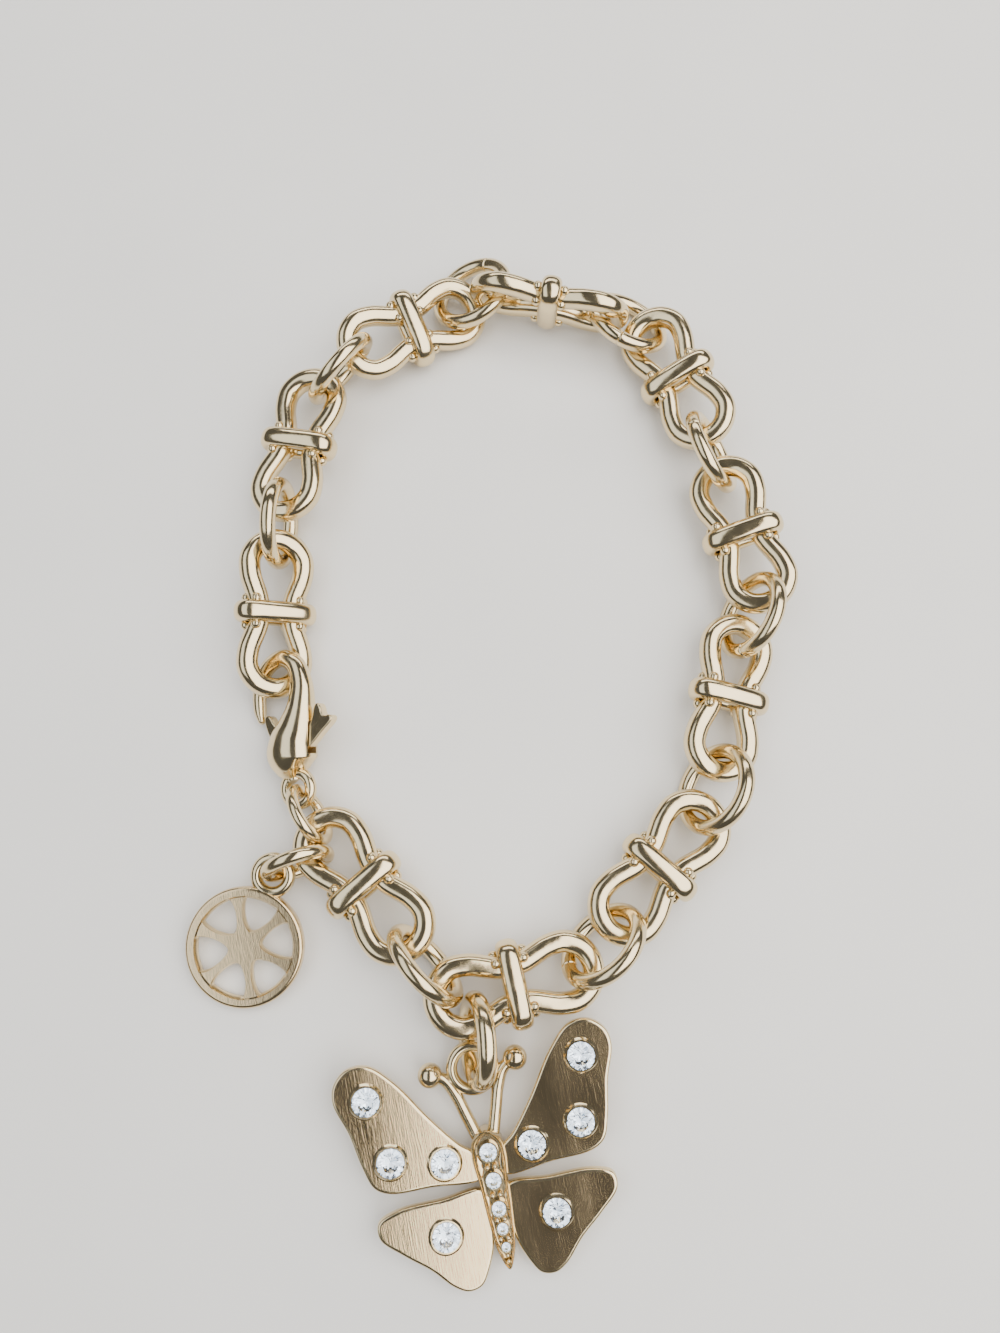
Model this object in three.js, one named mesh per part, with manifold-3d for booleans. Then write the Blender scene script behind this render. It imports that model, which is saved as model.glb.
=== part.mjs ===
// A gold-tone charm bracelet that lies closed on a flat surface, in millimetres with +Z up.
// Ten bow-shaped links are joined by round jump rings and closed by a lobster claw clasp.
// A butterfly pendant set with clear stones and a round pierced tag hang from the chain.
// The origin is the middle of the bounding box, at the level of the surface.
import * as THREE from "three";
import { ConvexGeometry } from "three/addons/geometries/ConvexGeometry.js";
import { mergeVertices } from "three/addons/utils/BufferGeometryUtils.js";
import Module from "manifold-3d";

const wasm = await Module();
wasm.setup();

// Bow links: one closed wire with a round loop at each end, and a flattened collar round its waist.
const LOOP_SPACING = 10.0; // between the centres of the two loops
const LOOP_RADIUS = 2.95; // centre line of a loop
const LINK_WIRE = 2.2; // wire diameter
const WAIST_GAP = 1.5; // clear space between the two arms at the collar
const COLLAR_LENGTH = 8.8; // across the link, outside
const COLLAR_DEPTH = 4.0; // through the link, outside
const COLLAR_WIRE = 1.6; // thickness of the collar's band
const COLLAR_WIDTH = 2.25; // width of the band along the link
const LOOP_TURN = 108; // degrees of a loop on each side of its end, before the arms leave it

// Jump rings: outside diameter and wire diameter of each kind.
const CHAIN_RING = { outer: 9.8, wire: 1.6 };
const CLASP_RING = { outer: 7.0, wire: 1.2 };
const TAG_RING = { outer: 7.5, wire: 1.4 };
const DROP_RING = { outer: 9.2, wire: 1.8 };

// The lie of the chain, chosen by hand, from the clasp ring round to the hooked link.
// Each row is a link: the middle in x and y, the heading in degrees, the roll in degrees that lifts
// its left side, and the heights of its rear and front loops.
const LINKS = [
  { x: -13.6, y: -23.0, heading: -49, roll: 0, rear: 3.3, front: 4.0 },
  { x: 1.4, y: -32.5, heading: 13, roll: 0, rear: 3.9, front: 3.4 },
  { x: 16.0, y: -21.3, heading: 49, roll: 0, rear: 3.4, front: 3.4 },
  { x: 23.8, y: -3.9, heading: 78, roll: 12, rear: 3.4, front: 3.0 },
  { x: 25.9, y: 13.6, heading: 106, roll: -15, rear: 4.3, front: 4.0 },
  { x: 19.7, y: 32.1, heading: 115, roll: -20, rear: 3.9, front: 3.2 },
  { x: 5.5, y: 40.5, heading: 169, roll: 80, rear: 4.7, front: 5.0 },
  { x: -9.9, y: 38.4, heading: 208, roll: -20, rear: 2.2, front: 3.9 },
  { x: -21.9, y: 23.9, heading: 257, roll: 12, rear: 4.1, front: 4.1 },
  { x: -23.7, y: 5.0, heading: 270, roll: -29, rear: 4.0, front: 2.95 },
];
// Each row is the ring after the link of the same number: the heading of its raised side, how far it
// is tipped up from flat, both in degrees, and a nudge of its middle in x and y.
const RINGS = [
  { raised: -137, tip: 77, x: -0.2, y: -0.3 },
  { raised: -45, tip: 60, x: 0.2, y: -0.2 },
  { raised: -21, tip: 57, x: 0.2, y: -0.2 },
  { raised: -18, tip: 65, x: -0.2, y: -0.2 },
  { raised: 200, tip: 60, x: 0, y: 0 },
  { raised: 230, tip: 35, x: -0.3, y: 0.1 },
  { raised: -30, tip: 30, x: 0.4, y: 1.2 },
  { raised: -40, tip: 75, x: -0.2, y: 0.2 },
  { raised: 176, tip: 86, x: 0, y: 0 },
];
const CLASP_RING_SHARE = 0.55; // of the way from the first loop to the eye
const CLASP_RING_PLACE = { raised: 210, tip: 76, x: -0.2, y: 0 };
const TAG_RING_PLACE = { raised: 110, tip: 80, x: -0.3, y: -0.4 };
const DROP_RING_PLACE = { raised: 3, tip: 74, x: 0.5, y: -0.6 };

// Lobster claw clasp, in its own plane: the eye is at the origin and the claw points along y.
const CLASP_PLACE = { x: -20.7, y: -13.4, heading: 97, pitch: 3, roll: -29, height: 2.55 };
const EYE = { outer: 4.4, wire: 1.2 };
const CLASP_LENGTH = 13.8; // from the eye's middle to the top of the claw
// Sections along the claw, as shares of that length: the centre line, the half width in the plane
// and the half depth.
const CLAW = [
  { x: -0.029, y: 0.08, wide: 0.051, deep: 0.051 },
  { x: -0.04, y: 0.145, wide: 0.13, deep: 0.12 },
  { x: -0.036, y: 0.246, wide: 0.196, deep: 0.163 },
  { x: 0, y: 0.362, wide: 0.182, deep: 0.163 },
  { x: 0.051, y: 0.471, wide: 0.147, deep: 0.138 },
  { x: 0.101, y: 0.623, wide: 0.104, deep: 0.105 },
  { x: 0.116, y: 0.79, wide: 0.085, deep: 0.078 },
  { x: 0.069, y: 0.935, wide: 0.075, deep: 0.066 },
  { x: -0.041, y: 1, wide: 0.067, deep: 0.061 },
  { x: -0.167, y: 0.967, wide: 0.06, deep: 0.057 },
  { x: -0.254, y: 0.877, wide: 0.055, deep: 0.054 },
  { x: -0.297, y: 0.739, wide: 0.051, deep: 0.051 },
  { x: -0.301, y: 0.623, wide: 0.045, deep: 0.047 },
  { x: -0.293, y: 0.558, wide: 0.029, deep: 0.033 },
];

// The lever, a flat plate in a slot of the claw. It turns on a pin and its tip closes the claw.
const PIVOT = { x: 0.051, y: 0.333 }; // as shares of the clasp's length
const PIN_RADIUS = 0.4;
const LEVER_PLAY = 0.15; // round the pin and between the cheeks
const LEVER_THICKNESS = 1.1;
const LEVER_TRAVEL = 20; // degrees that the lever opens
const LEVER_BEVEL = 0.12;
const SLOT_PLAY = 0.2; // round the lever's outline
const PIN_REACH = 1.8; // half the length of the pin
// Outline of the lever, as shares of the clasp's length.
const LEVER = [
  [-0.181, 0.58],
  [-0.232, 0.58],
  [-0.239, 0.529],
  [-0.203, 0.406],
  [-0.123, 0.304],
  [0.014, 0.254],
  [0.116, 0.261],
  [0.21, 0.319],
  [0.297, 0.391],
  [0.399, 0.457],
  [0.384, 0.507],
  [0.312, 0.493],
  [0.297, 0.601],
  [0.246, 0.601],
  [0.21, 0.478],
  [0.138, 0.428],
  [0.043, 0.42],
  [-0.065, 0.435],
  [-0.145, 0.493],
];

// Round tag: a flat disc with a soldered loop, pierced with a flower.
const TAG_PLACE = { x: -25.6, y: -29.1, heading: 69, pitch: 8, height: 1.5 };
const TAG_RADIUS = 6.0;
const TAG_THICKNESS = 1.3;
const TAG_LOOP = { outer: 4.6, wire: 1.2 };
const TAG_HUB_RADIUS = 1.65; // to the points of the openings
const TAG_PETALS = 6;
const TAG_RIM_WIDTH = 1.0;
const TAG_BAR_WIDTH = 0.9; // of each spoke at the rim
const TAG_PETAL_ARC = 0.8; // of the angle between two spokes that an opening's outer arc takes
const TAG_SHOULDERS = 0.56; // radius of the shoulders, as a share of the tag's
const TAG_MARGIN = 0.15; // that the openings stay clear of the rim's inner edge
const SOLDER = 0.1; // that a soldered loop sinks into its piece

// Butterfly pendant, in its own plane: y runs from the tail to the head.
const BUTTERFLY_PLACE = { x: -0.3, y: -52.0, heading: 101.5, pitch: 4, height: 1.65 };
const WING_THICKNESS = 1.0;
const WING_LIFT = 5; // degrees that each wing rises from the body
const WING_BEVEL = 0.25;
const WING_REACH = 13.7; // from the body's axis to the tip of a wing
// Outlines of the two right wings, as shares of that reach.
const FOREWING = [
  [0.073, 0.292],
  [0.19, 0.394],
  [0.365, 0.613],
  [0.562, 0.898],
  [0.723, 1.044],
  [0.876, 1.051],
  [0.978, 0.964],
  [1, 0.847],
  [0.927, 0.628],
  [0.876, 0.394],
  [0.818, 0.241],
  [0.715, 0.182],
  [0.438, 0.161],
  [0.073, 0.139],
];
const HINDWING = [
  [0.073, 0.058],
  [0.38, 0.066],
  [0.693, 0.066],
  [0.832, 0.015],
  [0.839, -0.088],
  [0.701, -0.226],
  [0.533, -0.365],
  [0.401, -0.504],
  [0.307, -0.555],
  [0.212, -0.54],
  [0.153, -0.467],
  [0.073, -0.263],
];
const BODY_LENGTH = 12.7;
const BODY_HEIGHT = 2.2;
const BODY_BEVEL = 0.2;
// Outline of the body, as shares of its length.
const BODY_OUTLINE = [
  [0, 0.496],
  [-0.102, 0.433],
  [-0.126, 0.315],
  [-0.106, 0.079],
  [-0.091, -0.157],
  [-0.063, -0.378],
  [0, -0.504],
  [0.063, -0.378],
  [0.091, -0.157],
  [0.106, 0.079],
  [0.126, 0.315],
  [0.102, 0.433],
];
const TROUGH_DEPTH = 0.6;
const TROUGH = { width: 0.72, length: 0.92 }; // shares of the body's outline
// Centre line of the right antenna, as shares of the body's length, with a ball at its end.
const ANTENNA_WIRE = 1.2;
const ANTENNA = [
  [0.063, 0.441],
  [0.118, 0.622],
  [0.165, 0.772],
  [0.228, 0.89],
  [0.331, 0.945],
];
const ANTENNA_BALL = 1.2; // radius
const BAIL = { outer: 5.2, wire: 1.1 };
const BAIL_PLACE = 0.937; // along the body's axis, as a share of its length

// Stones: the places on one wing as shares of its reach, mirrored on the other, and the row down the
// body as shares of its length.
const WING_STONE = 1.33; // radius
const WING_STONES = [
  [0.774, 0.818],
  [0.679, 0.387],
  [0.314, 0.299],
  [0.394, -0.168],
];
const BODY_STONES = [
  { y: 0.331, radius: 0.82 },
  { y: 0.126, radius: 0.72 },
  { y: -0.075, radius: 0.66 },
  { y: -0.217, radius: 0.5 },
  { y: -0.346, radius: 0.4 },
];
const STONE_CLEARANCE = 0.08;
const SEAT_WALL = 0.25; // metal round a wing stone
const SEAT_RISE = 0.2; // above the wing
const SEAT_ROOT = 0.3; // that a seat reaches into the wing
const BODY_SEAT_WALL = 0.14; // metal round a body stone
const BODY_SEAT_DROP = 0.15; // of a body stone's seat below the rim
const BODY_STONE_DROP = 0.25; // of a body stone's girdle below the rim
const STONE_SINK = 0.02; // of a wing stone's girdle below the edge of its seat
const CROWN = 0.32; // heights as shares of a stone's radius
const GIRDLE = 0.1;
const PAVILION = 0.55;
const STONE_SIDES = 8;
const TIP_CLEARANCE = 1.4; // how much more room a seat leaves below the stone's point than at its sides
const TABLE = 0.58;

// Faces of each kind of round or curved piece.
const RING_SIDES = 6;
const RING_STEPS = 16;
const SMALL_RING_STEPS = 14;
const LINK_SIDES = 6;
const LINK_STEPS = 34;
const COLLAR_STEPS = 14;
const CLAW_SIDES = 10;
const PIN_SIDES = 10;
const TAG_SIDES = 40;
const SEAT_SIDES = 12;
const FOREWING_STEPS = 26;
const HINDWING_STEPS = 22;
const BODY_STEPS = 30;
const SWEEP_STEP = 4; // degrees between the cuts that make the lever's slot

const GOLD = new THREE.MeshStandardMaterial({ color: 0xd9c48f, roughness: 0.2, metalness: 1 });
const GOLD_SATIN = new THREE.MeshStandardMaterial({ color: 0xcdb27a, roughness: 0.4, metalness: 1 });
const STONE = new THREE.MeshStandardMaterial({ color: 0xe8f0f6, roughness: 0.05, metalness: 0 });

const UP = new THREE.Vector3(0, 0, 1);

function radians(degrees) {
  return THREE.MathUtils.degToRad(degrees);
}

// A closed three.js geometry as a solid.
function solidOf(geometry) {
  const bare = geometry.clone();
  bare.deleteAttribute("normal");
  bare.deleteAttribute("uv");
  const merged = mergeVertices(bare, 1e-4);
  return new wasm.Manifold(
    new wasm.Mesh({
      numProp: 3,
      vertProperties: merged.attributes.position.array,
      triVerts: new Uint32Array(merged.index.array),
    }),
  );
}

// A solid back as a three.js geometry.
function geometryOf(solid) {
  const mesh = solid.getMesh();
  const geometry = new THREE.BufferGeometry();
  geometry.setAttribute("position", new THREE.BufferAttribute(mesh.vertProperties, 3));
  geometry.setIndex(new THREE.BufferAttribute(mesh.triVerts, 1));
  return geometry;
}

function joined(geometries) {
  return geometries.map(solidOf).reduce((sum, next) => sum.add(next));
}

// A closed wire round a closed curve.
function closedWire(curve, diameter, steps, sides) {
  return new THREE.TubeGeometry(curve, steps, diameter / 2, sides, true);
}

function ringGeometry(ring, steps = RING_STEPS) {
  return new THREE.TorusGeometry((ring.outer - ring.wire) / 2, ring.wire / 2, RING_SIDES, steps);
}

// The centre line of a bow link: an arc round each loop, then straight in to the waist.
function bowCurve() {
  const waist = (WAIST_GAP + LINK_WIRE) / 2;
  const points = [];
  for (const end of [1, -1]) {
    for (const share of [-3, -2, -1, 0, 1, 2, 3]) {
      const angle = radians((share * LOOP_TURN) / 3);
      const x = LOOP_SPACING / 2 + LOOP_RADIUS * Math.cos(angle);
      const y = LOOP_RADIUS * Math.sin(angle);
      points.push(new THREE.Vector3(end * x, end * y, 0));
    }
    points.push(new THREE.Vector3((end * COLLAR_WIDTH) / 2, end * waist, 0));
    points.push(new THREE.Vector3((-end * COLLAR_WIDTH) / 2, end * waist, 0));
  }
  return new THREE.CatmullRomCurve3(points, true);
}

// The centre line of the collar: a slot shape round the waist, across the link.
function collarCurve() {
  const radius = (COLLAR_DEPTH - COLLAR_WIRE) / 2;
  const straight = (COLLAR_LENGTH - COLLAR_DEPTH) / 2;
  const points = [];
  for (const side of [1, -1]) {
    for (const degrees of [-90, -45, 0, 45, 90]) {
      const y = straight + radius * Math.cos(radians(degrees));
      points.push(new THREE.Vector3(0, side * y, side * radius * Math.sin(radians(degrees))));
    }
  }
  return new THREE.CatmullRomCurve3(points, true);
}

function bowLinkGeometry() {
  const frame = closedWire(bowCurve(), LINK_WIRE, LINK_STEPS, LINK_SIDES);
  const collar = closedWire(collarCurve(), COLLAR_WIRE, COLLAR_STEPS, LINK_SIDES);
  collar.scale(COLLAR_WIDTH / COLLAR_WIRE, 1, 1);
  return geometryOf(joined([frame, collar]));
}

// The frame of a link: its length along the heading, pitched by its two heights, and rolled.
function linkFrame(link) {
  const rise = Math.asin((link.front - link.rear) / LOOP_SPACING);
  const heading = radians(link.heading);
  const along = new THREE.Vector3(
    Math.cos(heading) * Math.cos(rise),
    Math.sin(heading) * Math.cos(rise),
    Math.sin(rise),
  );
  const left = UP.clone().cross(along).normalize();
  const above = along.clone().cross(left);
  const roll = radians(link.roll);
  const side = left.clone().multiplyScalar(Math.cos(roll)).addScaledVector(above, Math.sin(roll));
  const normal = along.clone().cross(side);
  const frame = new THREE.Matrix4().makeBasis(along, side, normal);
  return frame.setPosition(link.x, link.y, (link.front + link.rear) / 2);
}

function loopCentre(link, end) {
  return new THREE.Vector3((end * LOOP_SPACING) / 2, 0, 0).applyMatrix4(linkFrame(link));
}

// The frame of a ring that is tipped up and stands on the surface. Its middle slides along its slope
// until its lower edge touches.
function ringFrame(ring, middle, place) {
  const raised = radians(place.raised);
  const tip = radians(place.tip);
  const across = new THREE.Vector3(-Math.sin(raised), Math.cos(raised), 0);
  const uphill = new THREE.Vector3(
    Math.cos(raised) * Math.cos(tip),
    Math.sin(raised) * Math.cos(tip),
    Math.sin(tip),
  );
  const normal = uphill.clone().cross(across);
  const radius = (ring.outer - ring.wire) / 2;
  const height = radius * Math.sin(tip) + ring.wire / 2;
  const slide = (height - middle.z) / Math.sin(tip);
  const centre = middle.clone().addScaledVector(uphill, slide);
  centre.x += place.x;
  centre.y += place.y;
  return new THREE.Matrix4().makeBasis(uphill, across, normal).setPosition(centre);
}

// A smooth closed outline through a few points, as a flat shape.
function smoothShape(points, steps) {
  const curve = new THREE.CatmullRomCurve3(points.map(([x, y]) => new THREE.Vector3(x, y, 0)), true);
  return new THREE.Shape(curve.getPoints(steps).slice(0, -1).map((p) => new THREE.Vector2(p.x, p.y)));
}

// A plate of a shape, centred on z = 0, with an optional small bevel that stays inside the outline.
function plate(shape, thickness, bevel = 0) {
  const geometry = new THREE.ExtrudeGeometry(shape, {
    depth: thickness - 2 * bevel,
    bevelEnabled: bevel > 0,
    bevelThickness: bevel,
    bevelSize: bevel,
    bevelOffset: -bevel,
    bevelSegments: 1,
    curveSegments: 6,
  });
  return geometry.translate(0, 0, -thickness / 2 + bevel);
}

// A post along z.
function post(radius, bottom, top, sides) {
  const geometry = new THREE.CylinderGeometry(radius, radius, top - bottom, sides);
  return geometry.rotateX(Math.PI / 2).translate(0, 0, (top + bottom) / 2);
}

// A body lofted along sections in the plane, each an ellipse across the path.
function loft(rows, sides) {
  const centres = rows.map((row) => new THREE.Vector3(row.x, row.y, 0));
  const curve = new THREE.CatmullRomCurve3(centres);
  const positions = [];
  rows.forEach((row, i) => {
    const along = curve.getTangent(i / (rows.length - 1));
    const side = new THREE.Vector3(-along.y, along.x, 0).normalize();
    for (let k = 0; k < sides; k += 1) {
      const angle = (2 * Math.PI * k) / sides;
      const point = centres[i].clone().addScaledVector(side, row.wide * Math.cos(angle));
      positions.push(point.x, point.y, row.deep * Math.sin(angle));
    }
  });
  const index = [];
  for (let i = 0; i + 1 < rows.length; i += 1) {
    for (let k = 0; k < sides; k += 1) {
      const a = i * sides + k;
      const b = i * sides + ((k + 1) % sides);
      index.push(a, b, a + sides, b, b + sides, a + sides);
    }
  }
  const last = (rows.length - 1) * sides;
  for (let k = 1; k + 1 < sides; k += 1) {
    index.push(0, k + 1, k);
    index.push(last, last + k, last + k + 1);
  }
  const geometry = new THREE.BufferGeometry();
  geometry.setAttribute("position", new THREE.Float32BufferAttribute(positions, 3));
  geometry.setIndex(index);
  return geometry;
}

// A brilliant: table, crown, girdle and pavilion, with its girdle's underside at z = 0.
function brilliant(radius, extra = 0) {
  const girdle = radius + extra;
  const halfFacet = Math.PI / STONE_SIDES;
  const layers = [
    { r: TABLE * radius + extra, z: (GIRDLE + CROWN) * radius + extra, turn: halfFacet },
    { r: girdle, z: GIRDLE * radius + extra, turn: 0 },
    { r: girdle, z: 0, turn: 0 },
  ];
  const points = [new THREE.Vector3(0, 0, -PAVILION * radius - extra * TIP_CLEARANCE)];
  for (const layer of layers) {
    for (let k = 0; k < STONE_SIDES; k += 1) {
      const angle = 2 * halfFacet * k + layer.turn;
      points.push(new THREE.Vector3(layer.r * Math.cos(angle), layer.r * Math.sin(angle), layer.z));
    }
  }
  return points;
}

function hullOf(points) {
  return solidOf(new ConvexGeometry(points));
}

// The frame of a flat piece: its y axis along the heading and pitched up, its x axis to the right.
function flatFrame(place) {
  const heading = radians(place.heading);
  const pitch = radians(place.pitch);
  const along = new THREE.Vector3(
    Math.cos(heading) * Math.cos(pitch),
    Math.sin(heading) * Math.cos(pitch),
    Math.sin(pitch),
  );
  const level = along.clone().cross(UP).normalize();
  const roll = radians(place.roll ?? 0);
  const right = level.clone().applyAxisAngle(along, roll);
  const normal = right.clone().cross(along);
  return new THREE.Matrix4().makeBasis(right, along, normal).setPosition(place.x, place.y, place.height);
}

// A table of [x, y] shares as lengths.
function sized(table, length) {
  return table.map(([x, y]) => [x * length, y * length]);
}

const PIVOT_POINT = new THREE.Vector3(PIVOT.x, PIVOT.y, 0).multiplyScalar(CLASP_LENGTH);

function leverShape() {
  return new THREE.Shape(sized(LEVER, CLASP_LENGTH).map(([x, y]) => new THREE.Vector2(x, y)));
}

// A round post that crosses the lever at its pivot.
function atPivot(radius, reach) {
  return solidOf(post(radius, -reach, reach, PIN_SIDES).translate(PIVOT_POINT.x, PIVOT_POINT.y, 0));
}

function claspGateSolid() {
  const bore = atPivot(PIN_RADIUS + LEVER_PLAY, LEVER_THICKNESS);
  return solidOf(plate(leverShape(), LEVER_THICKNESS, LEVER_BEVEL)).subtract(bore);
}

function claspBodySolid() {
  const eye = ringGeometry(EYE, SMALL_RING_STEPS);
  const sections = CLAW.map((row) => ({
    x: row.x * CLASP_LENGTH,
    y: row.y * CLASP_LENGTH,
    wide: row.wide * CLASP_LENGTH,
    deep: row.deep * CLASP_LENGTH,
  }));
  const deepest = Math.max(...sections.map((row) => row.deep));
  const hole = solidOf(post(EYE.outer / 2 - EYE.wire, -deepest, deepest, SMALL_RING_STEPS));
  let body = joined([loft(sections, CLAW_SIDES), eye]).subtract(hole);
  const grown = new THREE.ExtrudeGeometry(leverShape(), {
    depth: LEVER_THICKNESS,
    bevelEnabled: true,
    bevelThickness: LEVER_PLAY,
    bevelSize: SLOT_PLAY,
    bevelSegments: 1,
  }).translate(-PIVOT_POINT.x, -PIVOT_POINT.y, -LEVER_THICKNESS / 2);
  for (let turn = 0; turn <= LEVER_TRAVEL; turn += SWEEP_STEP) {
    const swept = grown.clone().rotateZ(-radians(turn)).translate(PIVOT_POINT.x, PIVOT_POINT.y, 0);
    body = body.subtract(solidOf(swept));
  }
  return body.add(atPivot(PIN_RADIUS, PIN_REACH));
}

// The middle of the loop that is soldered to the tag's edge.
const TAG_LOOP_Y = TAG_RADIUS + (TAG_LOOP.outer - TAG_LOOP.wire) / 2 - SOLDER;

function roundTagSolid() {
  const disc = solidOf(post(TAG_RADIUS, -TAG_THICKNESS / 2, TAG_THICKNESS / 2, TAG_SIDES));
  let tag = disc.add(solidOf(ringGeometry(TAG_LOOP, SMALL_RING_STEPS).translate(0, TAG_LOOP_Y, 0)));
  const half = Math.PI / TAG_PETALS;
  const far = TAG_RADIUS - TAG_RIM_WIDTH - TAG_MARGIN;
  const shoulders = TAG_SHOULDERS * TAG_RADIUS;
  const span = half - TAG_BAR_WIDTH / 2 / far;
  const outline = [-1, -0.5, 0, 0.5, 1].map((share) => {
    const angle = TAG_PETAL_ARC * share * span;
    return new THREE.Vector2(far * Math.sin(angle), far * Math.cos(angle));
  });
  const widest = half - TAG_BAR_WIDTH / 2 / shoulders;
  outline.push(new THREE.Vector2(shoulders * Math.sin(widest), shoulders * Math.cos(widest)));
  outline.push(new THREE.Vector2(0, TAG_HUB_RADIUS));
  outline.push(new THREE.Vector2(-shoulders * Math.sin(widest), shoulders * Math.cos(widest)));
  for (let k = 0; k < TAG_PETALS; k += 1) {
    const opening = plate(new THREE.Shape([...outline].reverse()), 2 * TAG_THICKNESS);
    tag = tag.subtract(solidOf(opening.rotateZ(2 * half * k)));
  }
  return tag;
}

const WING_TOP = WING_THICKNESS / 2;
const BODY_TOP = BODY_HEIGHT / 2;

// The frame of the right or left wing pair, raised about the body's axis.
function wingFrame(side) {
  return new THREE.Matrix4().makeRotationY(-side * radians(WING_LIFT));
}

function wingStoneFrame([x, y], side) {
  const local = new THREE.Matrix4().makeTranslation(side * x, y, WING_TOP + SEAT_RISE - STONE_SINK);
  return wingFrame(side).multiply(local);
}

function bodyStoneFrame(stone) {
  return new THREE.Matrix4().makeTranslation(0, stone.y * BODY_LENGTH, BODY_TOP - BODY_STONE_DROP);
}

function stoneAt(radius, frame, extra) {
  const points = brilliant(radius, extra).map((p) => p.applyMatrix4(frame));
  return hullOf(points);
}

function mirrored(points) {
  return points.map(([x, y]) => [-x, y]).reverse();
}

function butterflySolid() {
  const pieces = [];
  const cuts = [];
  for (const side of [1, -1]) {
    for (const [table, steps] of [[FOREWING, FOREWING_STEPS], [HINDWING, HINDWING_STEPS]]) {
      const outline = sized(table, WING_REACH);
      const shape = smoothShape(side > 0 ? outline : mirrored(outline), steps);
      pieces.push(plate(shape, WING_THICKNESS, WING_BEVEL).applyMatrix4(wingFrame(side)));
    }
    for (const [x, y] of sized(WING_STONES, WING_REACH)) {
      const seat = post(WING_STONE + SEAT_WALL, WING_TOP - SEAT_ROOT, WING_TOP + SEAT_RISE, SEAT_SIDES);
      pieces.push(seat.translate(side * x, y, 0).applyMatrix4(wingFrame(side)));
      cuts.push(stoneAt(WING_STONE, wingStoneFrame([x, y], side), STONE_CLEARANCE));
    }
    const radius = ANTENNA_WIRE / 2;
    const line = sized(ANTENNA, BODY_LENGTH).map(([x, y]) => (
      { x: side * x, y, wide: radius, deep: radius }
    ));
    const end = line[line.length - 1];
    pieces.push(loft(line, LINK_SIDES));
    pieces.push(new THREE.IcosahedronGeometry(ANTENNA_BALL, 1).translate(end.x, end.y, 0));
  }
  pieces.push(plate(smoothShape(sized(BODY_OUTLINE, BODY_LENGTH), BODY_STEPS), BODY_HEIGHT, BODY_BEVEL));
  pieces.push(ringGeometry(BAIL, SMALL_RING_STEPS).translate(0, BAIL_PLACE * BODY_LENGTH, 0));
  let butterfly = joined(pieces);
  const inner = BODY_OUTLINE.map(([x, y]) => [x * TROUGH.width, y * TROUGH.length]);
  const trough = plate(smoothShape(sized(inner, BODY_LENGTH), BODY_STEPS), TROUGH_DEPTH * 2);
  butterfly = butterfly.subtract(solidOf(trough.translate(0, 0, BODY_TOP)));
  const floor = BODY_TOP - TROUGH_DEPTH;
  for (const stone of BODY_STONES) {
    const radius = stone.radius + BODY_SEAT_WALL;
    const seat = post(radius, floor - SEAT_ROOT, BODY_TOP - BODY_SEAT_DROP, SEAT_SIDES);
    butterfly = butterfly.add(solidOf(seat.translate(0, stone.y * BODY_LENGTH, 0)));
    cuts.push(stoneAt(stone.radius, bodyStoneFrame(stone), STONE_CLEARANCE));
  }
  return cuts.reduce((solid, cut) => solid.subtract(cut), butterfly);
}

const bracelet = new THREE.Group();

function addNode(name, geometry, material, frame) {
  const mesh = new THREE.Mesh(geometry, material);
  mesh.name = name;
  mesh.applyMatrix4(frame ?? new THREE.Matrix4());
  bracelet.add(mesh);
  return mesh;
}

const bowLink = bowLinkGeometry();
LINKS.forEach((link, i) => {
  addNode("bow_link_" + String(i + 1).padStart(2, "0"), bowLink, GOLD, linkFrame(link));
});

const chainRing = ringGeometry(CHAIN_RING);
RINGS.forEach((place, i) => {
  const middle = loopCentre(LINKS[i], 1).lerp(loopCentre(LINKS[i + 1], -1), 0.5);
  addNode("chain_ring_" + (i + 1), chainRing, GOLD, ringFrame(CHAIN_RING, middle, place));
});

// A node from a solid that is given in its own frame.
function addSolid(name, solid, material, frame) {
  return addNode(name, geometryOf(solid), material, frame);
}

function pointOf(frame, x, y) {
  return new THREE.Vector3(x, y, 0).applyMatrix4(frame);
}

const claspFrame = flatFrame(CLASP_PLACE);
addSolid("clasp_body", claspBodySolid(), GOLD, claspFrame);
addSolid("clasp_gate", claspGateSolid(), GOLD, claspFrame);

const tagFrame = flatFrame(TAG_PLACE);
addSolid("round_tag", roundTagSolid(), GOLD_SATIN, tagFrame);

const butterflyFrame = flatFrame(BUTTERFLY_PLACE);
addSolid("butterfly", butterflySolid(), GOLD_SATIN, butterflyFrame);
let wingStoneNumber = 0;
for (const side of [-1, 1]) {
  for (const place of sized(WING_STONES, WING_REACH)) {
    wingStoneNumber += 1;
    const frame = butterflyFrame.clone().multiply(wingStoneFrame(place, side));
    addSolid("wing_stone_" + wingStoneNumber, hullOf(brilliant(WING_STONE)), STONE, frame);
  }
}
BODY_STONES.forEach((stone, i) => {
  const frame = butterflyFrame.clone().multiply(bodyStoneFrame(stone));
  addSolid("body_stone_" + (i + 1), hullOf(brilliant(stone.radius)), STONE, frame);
});

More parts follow.
